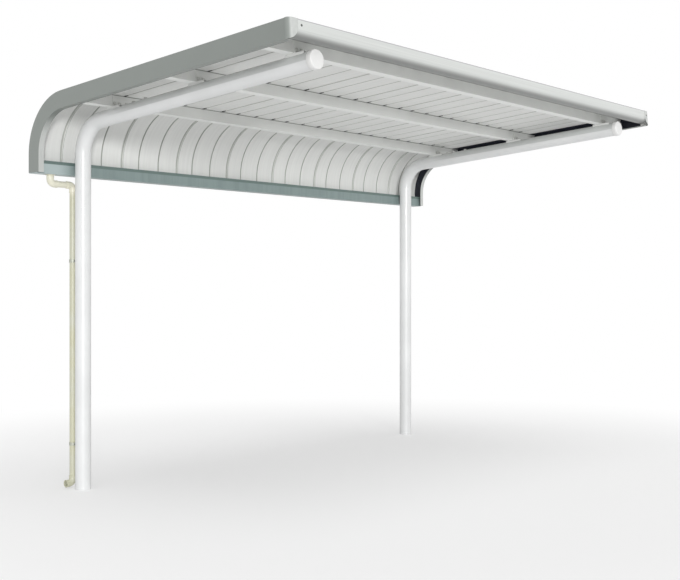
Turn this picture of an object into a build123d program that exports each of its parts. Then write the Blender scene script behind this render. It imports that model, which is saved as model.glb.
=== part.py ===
from build123d import *
import math
import os

# A cantilever bike shelter for an open yard, in millimetres.
# Two bent steel pipes carry three purlins and a ribbed sheet roof that turns down at the back.
# The origin is the centre of the left post's foot, at ground level.
# X runs from the left post to the right one, Y towards the back, Z up.

# Frame pipes
post_spacing = 3000.0
pipe_diameter = 89.1
pipe_wall = 3.2
foot_wall = 6.0
arm_height = 2069.0
splice_drop = 245.0
arm_bend_radius = 180.0
arm_setback = 94.5
arm_cap_wall = 2.5
arm_cap_skirt = 22.0
arm_cap_crown = 6.0
arm_cap_rim = 4.0

# Roof outline, measured on the outside of the side fascias
roof_slope = 4.29
front_reach = 1873.6
rear_reach = 128.8
roof_bend_radius = 325.0
side_overhang = 271.5
fascia_drop = 102.0

# Clearances
seat = 0.3
butt_gap = 0.5
flange_gap = 0.75

# Purlins and the saddles that carry them on the arms
purlin_height = 65.0
purlin_width = 45.0
purlin_lip = 12.0
purlin_wall = 1.6
front_purlin_setback = 203.2
rear_purlin_run = 129.5
saddle_wall = 3.2
saddle_width = 56.0
saddle_front_length = 58.0
saddle_rear_length = 16.0
saddle_upright_height = 52.0

# Roof sheets
sheet_wall = 0.8
rib_height = 11.0
sheet_cover = 428.3
first_joint = -68.0
joint_rib_width = 20.0
joint_rib_crest = 12.0
field_rib_offsets = (127.0, 279.0)
field_rib_width = 11.0
field_rib_crest = 5.0
sheet_foot_gap = 6.0
smallest_strip = 60.0

# Fascias
fascia_wall = 1.6
fascia_depth = 96.0
side_flange = 34.0
front_flange = 42.0
nose_drop = 41.0
nose_radius = 39.0
nose_lip = 9.0
corner_length = 26.0
corner_width = 56.0
corner_radius = 22.0
corner_wall = 1.2
corner_trim_top = 46.0
corner_trim_middle = (36.0, 77.0)

# Gutter
gutter_width = 72.0
gutter_drop = 4.0
gutter_front_depth = 72.0
gutter_rear_depth = 41.0
gutter_wall = 1.2
gutter_lip = 8.0
gutter_rim_height = 17.0
gutter_rim_lean = 4.0
gutter_end_wall = 1.5
gutter_end_step = 24.0

# Drain
drain_diameter = 36.0
drain_wall = 2.2
socket_wall = 2.4
socket_length = 16.0
spigot_length = 12.0
outlet_x = -159.0
outlet_flange_width = 10.0
outlet_flange_wall = 3.0
outlet_neck = 4.7
drain_gap = 25.5
drain_x = -8.0
drain_bend_radius = 27.0
shoe_end = 20.0
shoe_clearance = 6.0
clip_heights = (250.0, 1297.0)
clip_height = 18.0
clip_wall = 2.0
clip_stem_width = 8.0

# Worked out from the sizes above
pipe_radius = pipe_diameter / 2
drain_radius = drain_diameter / 2
drain_y = pipe_radius + drain_gap + drain_radius
tilt = math.radians(roof_slope)
lap_rise = sheet_wall + seat
sheet_inset = fascia_wall + flange_gap + lap_rise + rib_height
purlin_top_inset = sheet_inset + sheet_wall + seat
purlin_bottom_inset = purlin_top_inset + purlin_height
saddle_top_inset = purlin_bottom_inset + seat
arm_axis_inset = saddle_top_inset + saddle_wall + seat + pipe_radius
splice_height = arm_height - splice_drop
roof_line_height = arm_height + arm_axis_inset / math.cos(tilt)
bend_centre_y = rear_reach - roof_bend_radius
bend_centre_z = (
    roof_line_height - math.tan(tilt) * bend_centre_y - roof_bend_radius / math.cos(tilt)
)
left_x = -side_overhang
right_x = post_spacing + side_overhang
bend_start_y = bend_centre_y + roof_bend_radius * math.sin(tilt)
full_run = (front_reach + bend_start_y) / math.cos(tilt)
fascia_foot_height = bend_centre_z - fascia_drop
gutter_bottom_height = fascia_foot_height - gutter_drop
gutter_top_height = gutter_bottom_height + gutter_front_depth
gutter_rear_top_height = gutter_bottom_height + gutter_rear_depth
sheet_foot_height = gutter_rear_top_height + sheet_foot_gap
post_axes = {"left": 0.0, "right": post_spacing}

os.makedirs("parts", exist_ok=True)


def save(part, name):
    """Label a finished piece and write it as a STEP file of the same name."""
    part.label = name
    export_step(part, f"parts/{name}.step")


def roof_point(run, inset):
    """Side view place, run forward of the roof's bend and inset below its outer line."""
    reach = roof_bend_radius - inset
    y = bend_centre_y + reach * math.sin(tilt) - run * math.cos(tilt)
    z = bend_centre_z + reach * math.cos(tilt) + run * math.sin(tilt)
    return (y, z)


def roof_band(x_start, width, outer, inner, run, foot):
    """Add a strip that follows the roof's side view between two insets."""
    with BuildSketch(Plane.YZ.offset(x_start)) as side_view:
        with BuildLine():
            Line(roof_point(run, outer), roof_point(0, outer))
            RadiusArc(
                roof_point(0, outer),
                (rear_reach - outer, bend_centre_z),
                roof_bend_radius - outer,
            )
            Polyline(
                (rear_reach - outer, bend_centre_z),
                (rear_reach - outer, foot),
                (rear_reach - inner, foot),
                (rear_reach - inner, bend_centre_z),
            )
            RadiusArc(
                (rear_reach - inner, bend_centre_z),
                roof_point(0, inner),
                -(roof_bend_radius - inner),
            )
            Polyline(roof_point(0, inner), roof_point(run, inner), roof_point(run, outer))
        make_face()
    extrude(side_view.sketch, amount=width)


def folded_sheet(points, wall):
    """Closed outline of a sheet folded at the points, with its wall on their left."""
    corners = [Vector(*point) for point in points]
    runs = [(end - start).normalized() for start, end in zip(corners, corners[1:])]
    normals = [Vector(-run.Y, run.X) for run in runs]
    inner = [corners[0] + normals[0] * wall]
    for corner, before, after in zip(corners[1:], normals, normals[1:]):
        mitre = before + after
        inner.append(corner + mitre * (2 * wall / mitre.dot(mitre)))
    inner.append(corners[-1] + normals[-1] * wall)
    return corners + inner[::-1]


def side_prism(x_start, width, outline, mode=Mode.ADD):
    """Add or cut a straight piece along X whose side view is a polygon of Y and Z."""
    with BuildSketch(Plane.YZ.offset(x_start)) as side_view:
        with BuildLine():
            Polyline(*outline, close=True)
        make_face()
    extrude(side_view.sketch, amount=width, mode=mode)


# Posts: straight pipes with a plate in the foot, that end at the splice under the bend
for side, x in post_axes.items():
    with BuildPart() as post:
        with BuildSketch(Plane.XY):
            with Locations((x, 0)):
                Circle(pipe_radius)
        extrude(amount=splice_height)
        with BuildSketch(Plane.XY.offset(foot_wall)):
            with Locations((x, 0)):
                Circle(pipe_radius - pipe_wall)
        extrude(amount=splice_height, mode=Mode.SUBTRACT)
    save(post.part, f"post_{side}")

# Arms: one pipe each, up from the splice, round the bend and out to the front
arm_end_run = full_run - arm_setback
arm_end = roof_point(arm_end_run, arm_axis_inset)
for side, x in post_axes.items():
    with BuildPart() as arm:
        with BuildLine(Plane.YZ.offset(x)) as arm_axis:
            FilletPolyline(
                (0, splice_height + seat),
                (0, arm_height),
                arm_end,
                radius=arm_bend_radius,
            )
        with BuildSketch(Plane.XY.offset(splice_height + seat)):
            with Locations((x, 0)):
                Circle(pipe_radius)
                Circle(pipe_radius - pipe_wall, mode=Mode.SUBTRACT)
        sweep(path=arm_axis.wires()[0])
    save(arm.part, f"arm_{side}")

# Arm caps: covers with a bevelled rim, pushed over the arm ends
cap_bore = pipe_radius + seat
cap_radius = cap_bore + arm_cap_wall
for side, x in post_axes.items():
    skirt_start = roof_point(arm_end_run - arm_cap_skirt, arm_axis_inset)
    cap_plane = Plane(
        origin=(x, *skirt_start),
        x_dir=(1, 0, 0),
        z_dir=(0, -math.cos(tilt), math.sin(tilt)),
    )
    with BuildPart() as cap:
        with BuildSketch(cap_plane):
            Circle(cap_radius)
        extrude(amount=arm_cap_skirt + seat + arm_cap_wall + arm_cap_crown)
        rim = cap.faces().filter_by(GeomType.PLANE).sort_by(Axis.Y)[0].edges()
        chamfer(rim, length=arm_cap_crown, length2=arm_cap_rim)
        with BuildSketch(cap_plane):
            Circle(cap_bore)
        extrude(amount=arm_cap_skirt + seat, mode=Mode.SUBTRACT)
    save(cap.part, f"arm_cap_{side}")

# Purlins: lipped channels, web to the front, that lie across both arms between the fascias
purlin_start = left_x + fascia_wall + seat
purlin_length = right_x - left_x - 2 * (fascia_wall + seat)
front_purlin_run = full_run - front_purlin_setback
purlin_runs = {
    "front": front_purlin_run,
    "middle": (front_purlin_run + rear_purlin_run) / 2,
    "rear": rear_purlin_run,
}
for name, front in purlin_runs.items():
    back = front - purlin_width
    folds = (
        (back, purlin_top_inset + purlin_lip),
        (back, purlin_top_inset),
        (front, purlin_top_inset),
        (front, purlin_bottom_inset),
        (back, purlin_bottom_inset),
        (back, purlin_bottom_inset - purlin_lip),
    )
    with BuildPart() as purlin:
        outline = folded_sheet(folds, purlin_wall)
        side_prism(purlin_start, purlin_length, [roof_point(point.X, point.Y) for point in outline])
    save(purlin.part, f"purlin_{name}")

# Saddles: a plate under the purlin with side legs that straddle the arm, and an upright in front
for name, front in purlin_runs.items():
    saddle_front = front + saddle_front_length
    saddle_back = front - purlin_width - saddle_rear_length
    upright_top = purlin_bottom_inset - saddle_upright_height
    plate = (
        (saddle_front, saddle_top_inset),
        (saddle_front, arm_axis_inset),
        (saddle_back, arm_axis_inset),
        (saddle_back, saddle_top_inset),
    )
    upright = (
        (front + seat, saddle_top_inset),
        (front + seat, upright_top),
        (front + seat + saddle_wall, upright_top),
        (front + seat + saddle_wall, saddle_top_inset),
    )
    hollow = (
        (saddle_front, saddle_top_inset + saddle_wall),
        (saddle_front, arm_axis_inset),
        (saddle_back, arm_axis_inset),
        (saddle_back, saddle_top_inset + saddle_wall),
    )
    for side, x in post_axes.items():
        saddle_start = x - saddle_width / 2
        with BuildPart() as saddle:
            side_prism(saddle_start, saddle_width, [roof_point(*point) for point in plate])
            side_prism(
                saddle_start + saddle_wall,
                saddle_width - 2 * saddle_wall,
                [roof_point(*point) for point in hollow],
                mode=Mode.SUBTRACT,
            )
            with BuildSketch(
                Plane(
                    origin=(x, *roof_point(saddle_back, arm_axis_inset)),
                    x_dir=(1, 0, 0),
                    z_dir=(0, -math.cos(tilt), math.sin(tilt)),
                )
            ):
                Circle(pipe_radius + seat)
            extrude(amount=saddle_front - saddle_back, mode=Mode.SUBTRACT)
            side_prism(saddle_start, saddle_width, [roof_point(*point) for point in upright])
        save(saddle.part, f"purlin_saddle_{name}_{side}")

def rib(centre, foot_width, crest_width, height):
    """Four folds of a standing rib, as X and height above the sheet's face."""
    return [
        (centre - foot_width / 2, 0),
        (centre - crest_width / 2, height),
        (centre + crest_width / 2, height),
        (centre + foot_width / 2, 0),
    ]


def on_leg(foot, crest, height):
    """Place on a rib's leg at the height, where a lapped edge ends."""
    return (foot[0] + (crest[0] - foot[0]) * height / crest[1], height)


def add_roof_sheet(folds):
    """Carry a folded section along the roof's slope, round the bend and down the back."""
    start = roof_point(sheet_run, sheet_inset)
    with BuildLine(Plane.YZ) as side_line:
        Line(start, roof_point(0, sheet_inset))
        RadiusArc(
            roof_point(0, sheet_inset),
            (rear_reach - sheet_inset, bend_centre_z),
            roof_bend_radius - sheet_inset,
        )
        Line((rear_reach - sheet_inset, bend_centre_z), (rear_reach - sheet_inset, sheet_foot_height))
    section_plane = Plane(
        origin=(0, *start),
        x_dir=(1, 0, 0),
        z_dir=(0, -math.cos(tilt), math.sin(tilt)),
    )
    with BuildSketch(section_plane) as section:
        with BuildLine():
            Polyline(*folded_sheet(folds, -sheet_wall), close=True)
        make_face()
    sweep(section.sketch, path=side_line.wires()[0])


# Roof sheets: ribbed panels side by side, bent down at the back, lapped at the joint ribs
sheet_run = full_run - corner_radius - seat
inside_left = left_x + fascia_wall + seat
inside_right = right_x - fascia_wall - seat
joint_count = int((inside_right - smallest_strip - first_joint) // sheet_cover) + 1
joints = [first_joint + sheet_cover * step for step in range(joint_count)]
edges = [inside_left] + joints + [inside_right]
lap = 2 * (sheet_wall + seat)
for number, (start, end) in enumerate(zip(edges, edges[1:]), 1):
    folds = [(start, 0)]
    if start in joints:
        folds = rib(start, joint_rib_width + lap, joint_rib_crest + lap, rib_height + lap_rise)
        folds[0] = on_leg(folds[0], folds[1], lap_rise)
        for offset_x in field_rib_offsets:
            if start + offset_x < inside_right - side_flange:
                folds += rib(start + offset_x, field_rib_width, field_rib_crest, rib_height)
    if end in joints:
        folds += rib(end, joint_rib_width, joint_rib_crest, rib_height)
        folds[-1] = on_leg(folds[-1], folds[-2], lap_rise)
    else:
        folds.append((end, 0))
    with BuildPart() as sheet:
        add_roof_sheet(folds)
    save(sheet.part, f"roof_sheet_{number}")

# Side fascias: channels that close the roof's ends and follow its slope, bend and back
corner_run = full_run - corner_radius
for side in post_axes:
    web_start = left_x if side == "left" else right_x - fascia_wall
    flange_start = left_x if side == "left" else right_x - side_flange
    flange_run = full_run - front_flange - butt_gap
    with BuildPart() as side_fascia:
        roof_band(web_start, fascia_wall, 0, fascia_depth, corner_run, fascia_foot_height)
        roof_band(flange_start, side_flange, 0, fascia_wall, flange_run, fascia_foot_height)
        roof_band(
            flange_start,
            side_flange,
            fascia_depth - fascia_wall,
            fascia_depth,
            corner_run,
            fascia_foot_height,
        )
    save(side_fascia.part, f"side_fascia_{side}")

# Front fascia: a channel with a rounded nose, between the two corner covers
front_start = left_x + corner_radius
nose_plane = Plane(
    origin=(front_start, *roof_point(full_run, 0)),
    x_dir=(0, math.cos(tilt), -math.sin(tilt)),
    z_dir=(1, 0, 0),
)
nose_bottom = nose_drop + nose_radius
with BuildPart() as front_fascia:
    with BuildSketch(nose_plane):
        with BuildLine():
            Polyline((front_flange, 0), (0, 0), (0, -nose_drop))
            CenterArc((nose_radius, -nose_drop), nose_radius, 180, 90)
            Polyline(
                (nose_radius, -nose_bottom),
                (nose_radius + nose_lip, -nose_bottom),
                (nose_radius + nose_lip, fascia_wall - nose_bottom),
                (nose_radius, fascia_wall - nose_bottom),
            )
            CenterArc((nose_radius, -nose_drop), nose_radius - fascia_wall, 270, -90)
            Polyline(
                (fascia_wall, -nose_drop),
                (fascia_wall, -fascia_wall),
                (front_flange, -fascia_wall),
                (front_flange, 0),
            )
        make_face()
    extrude(amount=post_spacing + 2 * (side_overhang - corner_radius))
save(front_fascia.part, "front_fascia")

# Corner covers: rounded covers over the front corners, trimmed to an arc at the lower edge
cover_offset = corner_wall + seat


def corner_block(inset, mode=Mode.ADD):
    """Add or cut the left front corner's rounded block, grown by the inset."""
    with BuildSketch(cover_plane.offset(inset)) as plan:
        with BuildLine():
            Line((-inset, corner_length), (-inset, corner_radius))
            RadiusArc((-inset, corner_radius), (corner_radius, -inset), corner_radius + inset)
            Polyline(
                (corner_radius, -inset),
                (corner_width, -inset),
                (corner_width, corner_length),
                (-inset, corner_length),
            )
        make_face()
    extrude(plan.sketch, amount=-(fascia_depth + cover_offset), mode=mode)


cover_corner_point = (left_x, *roof_point(full_run, 0))
cover_plane = Plane(
    origin=cover_corner_point,
    x_dir=(1, 0, 0),
    z_dir=(0, math.sin(tilt), math.cos(tilt)),
)
trim_plane = Plane(
    origin=cover_corner_point,
    x_dir=(1, 0, 0),
    z_dir=(0, -math.cos(tilt), math.sin(tilt)),
)
with BuildPart() as corner_left:
    corner_block(cover_offset)
    corner_block(seat, mode=Mode.SUBTRACT)
    with BuildSketch(trim_plane):
        with BuildLine():
            ThreePointArc(
                (0, -fascia_depth),
                (corner_trim_middle[0], -corner_trim_middle[1]),
                (corner_width, -corner_trim_top),
            )
            Polyline(
                (corner_width, -corner_trim_top),
                (corner_width, -fascia_depth),
                (0, -fascia_depth),
            )
        make_face()
    extrude(amount=cover_offset + corner_radius, both=True, mode=Mode.SUBTRACT)
save(corner_left.part, "corner_cover_left")
with BuildPart() as corner_right:
    mirror(corner_left.part, about=Plane.YZ.offset(post_spacing / 2))
save(corner_right.part, "corner_cover_right")

# Gutter: a box channel under the roof's foot, between the side fascias, with a rim that leans out
gutter_back_face = rear_reach - fascia_wall - seat
gutter_front_face = gutter_back_face - gutter_width
gutter_rim_face = gutter_front_face - gutter_rim_lean
gutter_rim_foot = gutter_top_height - gutter_rim_height
gutter_folds = (
    (gutter_rim_face + gutter_lip, gutter_top_height),
    (gutter_rim_face, gutter_top_height),
    (gutter_front_face, gutter_rim_foot),
    (gutter_front_face, gutter_bottom_height),
    (gutter_back_face, gutter_bottom_height),
    (gutter_back_face, gutter_rear_top_height),
)
gutter_start = inside_left + gutter_end_wall
with BuildPart() as gutter:
    gutter_outline = [(point.X, point.Y) for point in folded_sheet(gutter_folds, gutter_wall)]
    side_prism(gutter_start, inside_right - inside_left - 2 * gutter_end_wall, gutter_outline)
    with BuildSketch(Plane.XY.offset(gutter_bottom_height)):
        with Locations((outlet_x, drain_y)):
            Circle(drain_radius - drain_wall)
    extrude(amount=gutter_wall, mode=Mode.SUBTRACT)
save(gutter.part, "gutter")
gutter_end_outline = (
    (gutter_front_face, gutter_bottom_height),
    (gutter_back_face, gutter_bottom_height),
    (gutter_back_face, gutter_rear_top_height),
    (gutter_front_face + gutter_end_step, gutter_rear_top_height),
    (gutter_rim_face + gutter_lip, gutter_top_height),
    (gutter_rim_face, gutter_top_height),
    (gutter_front_face, gutter_rim_foot),
)
for side in post_axes:
    end_start = inside_left if side == "left" else inside_right - gutter_end_wall
    with BuildPart() as gutter_end:
        side_prism(end_start, gutter_end_wall, gutter_end_outline)
    save(gutter_end.part, f"gutter_end_{side}")

# Drain outlet: a flange under the gutter's floor, with a spigot for the pipe's socket
outlet_top = gutter_bottom_height - seat
drain_top = outlet_top - outlet_flange_wall - outlet_neck
with BuildPart() as drain_outlet:
    with Locations((outlet_x, drain_y, outlet_top)):
        Cylinder(
            drain_radius + outlet_flange_width,
            outlet_flange_wall,
            align=(Align.CENTER, Align.CENTER, Align.MAX),
        )
        Cylinder(
            drain_radius,
            outlet_top - drain_top + spigot_length,
            align=(Align.CENTER, Align.CENTER, Align.MAX),
        )
        Hole(drain_radius - drain_wall)
save(drain_outlet.part, "drain_outlet")

# Downpipe: from the outlet across to the post and down it, with an elbow at each turn
socket_radius = drain_radius + seat + socket_wall
branch_height = drain_top - drain_bend_radius - socket_length
shoe_height = socket_radius + shoe_clearance
corners = [
    (outlet_x, drain_top),
    (outlet_x, branch_height),
    (drain_x, branch_height),
    (drain_x, shoe_height),
    (drain_x - drain_bend_radius - shoe_end, shoe_height),
]
drain_plane = Plane(origin=(0, drain_y, 0), x_dir=(1, 0, 0), z_dir=(0, -1, 0))


def add_drain_run(points, radius, mode=Mode.ADD):
    """Add or cut a round run through the points, given as X and Z, with a bend at each turn."""
    with BuildLine(drain_plane) as centre_line:
        FilletPolyline(*points, radius=drain_bend_radius)
    line = centre_line.wires()[0]
    with BuildSketch(Plane(origin=line @ 0, z_dir=line % 0)) as section:
        Circle(radius)
    sweep(section.sketch, path=line, mode=mode)


def elbow_ends(before, turn, after):
    """Corner points of an elbow at a turn, each end a bend and a socket away from it."""
    ends = []
    for neighbour in (before, after):
        way = (Vector(*neighbour) - Vector(*turn)).normalized()
        end = Vector(*turn) + way * (drain_bend_radius + socket_length)
        ends.append((end.X, end.Y))
    return [ends[0], turn, ends[1]]


with BuildPart() as downpipe:
    add_drain_run(corners, drain_radius)
    for before, turn, after in zip(corners, corners[1:], corners[2:]):
        add_drain_run(elbow_ends(before, turn, after), socket_radius)
    add_drain_run(corners, drain_radius - drain_wall, mode=Mode.SUBTRACT)
    with Locations((outlet_x, drain_y, drain_top)):
        Cylinder(
            drain_radius + seat,
            spigot_length + seat,
            align=(Align.CENTER, Align.CENTER, Align.MAX),
            mode=Mode.SUBTRACT,
        )
save(downpipe.part, "downpipe")

# Pipe clips: a ring round the downpipe on a short stem from the post
for name, height in zip(("lower", "upper"), clip_heights):
    with BuildPart() as clip:
        with BuildSketch(Plane.XY.offset(height - clip_height / 2)):
            with Locations((drain_x, drain_y / 2)):
                Rectangle(clip_stem_width, drain_y)
            with Locations((drain_x, drain_y)):
                Circle(drain_radius + seat + clip_wall)
                Circle(drain_radius + seat, mode=Mode.SUBTRACT)
            Circle(pipe_radius + seat, mode=Mode.SUBTRACT)
        extrude(amount=clip_height)
    save(clip.part, f"pipe_clip_{name}")
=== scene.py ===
# %% [markdown]
# # A bike shelter, finished for the eye
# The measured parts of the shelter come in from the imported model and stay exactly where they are.
# This lesson gives them their paints and plastics, adds the small fittings that a maker would look
# for, and sets up a pale studio with a camera. All lengths are metres: X runs from the left post to
# the right one, Y towards the back and Z up.

# %% Load the measured parts
import math
import bpy
import numpy as np
from mathutils import Matrix


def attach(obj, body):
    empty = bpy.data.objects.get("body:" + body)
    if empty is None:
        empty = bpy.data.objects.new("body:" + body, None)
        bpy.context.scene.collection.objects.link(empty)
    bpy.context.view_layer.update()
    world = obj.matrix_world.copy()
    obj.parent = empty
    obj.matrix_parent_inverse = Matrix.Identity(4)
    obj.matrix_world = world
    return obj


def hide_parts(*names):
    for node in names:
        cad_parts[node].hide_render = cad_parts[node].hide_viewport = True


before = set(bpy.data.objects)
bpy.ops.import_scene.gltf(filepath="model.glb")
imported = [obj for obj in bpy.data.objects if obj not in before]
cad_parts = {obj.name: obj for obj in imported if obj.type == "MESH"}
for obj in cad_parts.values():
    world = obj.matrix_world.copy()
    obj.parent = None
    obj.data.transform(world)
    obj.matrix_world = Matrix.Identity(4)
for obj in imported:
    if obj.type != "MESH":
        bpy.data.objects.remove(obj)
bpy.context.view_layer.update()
print(len(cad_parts), "measured parts")

# %% [markdown]
# Most fittings sit on the sloping roof frame, so they need the roof's side view. The roof line is a
# straight slope, then an arc round one centre, then a straight drop at the back. A place on it is
# given by how far it lies forward of the bend (the run) and how deep it lies under the outer line
# (the inset). The same two numbers place a bolt on an arm and a screw on a sheet.

# %% Roof line
tilt = math.radians(4.29)
forward = np.array([0.0, -math.cos(tilt), math.sin(tilt)])
upward = np.array([0.0, math.sin(tilt), math.cos(tilt)])
sideways = np.array([1.0, 0.0, 0.0])
backward = np.array([0.0, 1.0, 0.0])
vertical = np.array([0.0, 0.0, 1.0])
bend_centre = np.array([0.0, -0.1962, 1.88707])
bend_radius = 0.325
full_run = 1.70649
post_places = (0.0, 3.0)
middle_x = sum(post_places) / 2.0
pipe_radius = 0.04455
arm_inset = 0.1289


def on_roof(x, run, inset):
    """Place at X: from the bend's centre up to the inset, then forward by the run on the slope."""
    return bend_centre + sideways * x + upward * (bend_radius - inset) + forward * run


print("front edge of the roof:", np.round(on_roof(0.0, full_run, 0.0), 4))

# %% [markdown]
# Every new piece here is a grid of points: rows along one parameter and columns along the other. A
# lathe-turned fitting has its height down the rows and its angle along the columns. One helper
# turns such a grid into faces, so each piece below only has to say where its points are. The grid
# closes on itself round the angle, and its first and last rings are filled with one face each.

# %% Grid of rings to a closed shell
def wrapped_quads(steps, rows, columns):
    """Faces from each row to the next, for a number of steps, wrapped round the columns."""
    row, column = np.meshgrid(np.arange(steps), np.arange(columns), indexing="ij")
    below, beside = (row + 1) % rows, (column + 1) % columns
    corners = [
        row * columns + column, row * columns + beside,
        below * columns + beside, below * columns + column,
    ]
    return np.stack(corners, axis=-1).reshape(-1, 4)


def ring_faces(rows, columns):
    """Faces between each ring and the next, with the first and the last ring filled."""
    first = np.arange(columns)[::-1]
    last = np.arange(columns) + (rows - 1) * columns
    return wrapped_quads(rows - 1, rows, columns).tolist() + [first.tolist(), last.tolist()]


def turned_points(radii, heights, columns):
    """Points of a turned shape: radius times cosine and sine of the angle, at the ring's height."""
    angle = np.linspace(0.0, 2.0 * math.pi, columns, endpoint=False)
    radii = np.broadcast_to(radii, (len(heights), columns))
    height = np.broadcast_to(np.asarray(heights)[:, None], radii.shape)
    return np.stack([radii * np.cos(angle), radii * np.sin(angle), height], axis=-1)


def facing(direction):
    """Three unit axes as columns, the last along the direction, to stand a shape on a face."""
    up = np.asarray(direction, float) / np.linalg.norm(direction)
    across = np.cross(vertical if abs(up[2]) < 0.9 else sideways, up)
    across /= np.linalg.norm(across)
    return np.stack([across, np.cross(up, across), up], axis=1)


print("a lathe of 3 rings and 8 columns has", len(ring_faces(3, 8)), "faces")

# %% [markdown]
# A fitting that is used many times is worked out once and then copied by matrix: each copy turns
# the same points and moves them to its place. All copies of a kind become one mesh, which keeps the
# scene tidy. Smooth shading with a limit on the angle keeps hexagon edges crisp.

# %% Copies of a fitting as one mesh
def new_mesh(name, points, faces):
    """Mesh from an array of points, of any shape, and a list of faces."""
    mesh = bpy.data.meshes.new(name)
    mesh.from_pydata(np.asarray(points).reshape(-1, 3).tolist(), [], faces)
    mesh.update()
    return mesh


def add_object(name, data):
    """Object in the scene for a mesh, a lamp or a camera."""
    new = bpy.data.objects.new(name, data)
    bpy.context.scene.collection.objects.link(new)
    return new


def add_piece(name, points, faces, smooth_angle=35.0):
    """Mesh object at the origin, riding on the shelter, shaded smooth below the angle."""
    mesh = new_mesh(name, points, faces)
    mesh.shade_smooth()
    mesh.set_sharp_from_angle(angle=math.radians(smooth_angle))
    piece = add_object(name, mesh)
    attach(piece, "root")
    print(name, "faces:", len(mesh.polygons))
    return piece


def add_copies(name, points, places, directions, smooth_angle=35.0):
    """Copies of one turned shape: each is its points turned to a direction and moved to a place."""
    rows, columns = points.shape[:2]
    axes = np.stack([facing(direction) for direction in directions])
    turned = np.einsum("nij,pj->npi", axes, points.reshape(-1, 3))
    copies = turned + np.asarray(places)[:, None, :]
    one = ring_faces(rows, columns)
    starts = [rows * columns * copy for copy in range(len(places))]
    faces = [[corner + start for corner in face] for start in starts for face in one]
    return add_piece(name, copies, faces, smooth_angle)


print("copies ready")

# %% [markdown]
# The pipes end in white push-on covers. A real one is moulded: a straight skirt, a soft round rim
# and a face that bulges very slightly. Turning a profile is the plain way to make that, and a
# quarter circle gives the rim its soft corner. These replace the plainer measured caps.

# %% Pipe end covers
def end_cover(radius, skirt, rim, crown, wall, columns=96):
    """Rings of a cover: a skirt, then a quarter circle of the rim's size, then a shallow bulge."""
    turn = np.linspace(0.0, math.pi / 2.0, 9)
    outside = radius - rim + rim * np.cos(turn)
    rise = skirt - rim + rim * np.sin(turn)
    inward = np.linspace(0.0, 1.0, 9)[1:-1]
    face = (radius - rim) * (1.0 - inward)
    bulge = skirt + crown * (1.0 - (1.0 - inward) ** 2)
    bevel_width, bevel_height = 0.0004, 0.0006
    lip = [radius - wall, radius - bevel_width, radius]
    rings = np.concatenate([lip, outside, face])
    heights = np.concatenate([[0.0, 0.0, bevel_height], rise, bulge])
    return turned_points(rings[:, None], heights, columns)


cover_points = end_cover(radius=0.04734, skirt=0.0300, rim=0.0050, crown=0.0006, wall=0.0024)
arm_end_setback, cover_grip = 0.0945, 0.0220
cover_start_run = full_run - arm_end_setback - cover_grip
end_covers = []
for side, x in zip(("left", "right"), post_places):
    start = on_roof(x, cover_start_run, arm_inset)
    name = f"pipe_end_cover_{side}"
    cover = add_copies(name, cover_points, [start], [forward], 50.0)
    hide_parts(f"arm_cap_{side}")
    end_covers.append(cover)

# %% [markdown]
# The front corners are closed by bent covers. Seen from above, a cover's path runs along the side,
# then in a quarter circle, then along the front. Its section is the same all the way: a flat top
# with a small round rim, a wall down to the lower edge, and a second wall back up inside. The lower
# edge is part of a circle when seen from the front, so it gives the wall's depth at each X.

# %% Section of a corner cover along its path
corner_length, corner_width, corner_radius = 0.026, 0.056, 0.022
cover_outside, cover_inside, cover_rim = 0.0015, 0.0003, 0.0020
trim_centre, trim_radius = (-0.016463, 0.0212), 0.076589


def cover_path(offset):
    """Plan points and outward ways: radius plus offset times cosine and sine, then straight on."""
    turn = np.linspace(0.0, math.pi / 2.0, 17)
    round_ways = -np.stack([np.cos(turn), np.sin(turn)], axis=-1)
    arc = corner_radius + (corner_radius + offset) * round_ways
    along = np.linspace(corner_radius, corner_width, 13)[1:]
    front = np.stack([along, np.full(along.size, -offset)], axis=-1)
    points = np.concatenate([[[-offset, corner_length]], arc, front])
    ways = np.concatenate([[[-1.0, 0.0]], round_ways, np.tile([[0.0, -1.0]], (along.size, 1))])
    return points, ways


def corner_cover_points():
    """Rows of plan place and inset: a rim by cosine and sine, the trim circle's depth, inside."""
    outer, ways = cover_path(cover_outside)
    inner = cover_path(cover_inside)[0]
    turn = np.linspace(math.pi / 2.0, 0.0, 6)[:, None]
    rim = outer + ways * (cover_rim * (np.cos(turn) - 1.0))[..., None]
    rim_inset = np.broadcast_to(cover_rim * (1.0 - np.sin(turn)) - cover_outside, rim.shape[:2])
    beside = np.maximum(outer[:, 0], 0.0) - trim_centre[0]
    depth = trim_centre[1] + np.sqrt(trim_radius ** 2 - beside ** 2)
    top_inside = np.full((1, len(inner)), -cover_inside)
    plan = np.concatenate([rim, outer[None], inner[None], inner[None]])
    inset = np.concatenate([rim_inset, depth[None], depth[None], top_inside])
    return plan, inset


plan, inset = corner_cover_points()
print("corner cover rows and columns:", inset.shape)

# %% [markdown]
# On top, all sections run together in one inner corner, so the top is a fan of triangles round one
# point, and so is its underside. The right cover is the left one mirrored in X. A mirror turns a
# shell inside out, so its faces are listed the other way round. Both covers replace the plainer
# measured ones.

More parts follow.
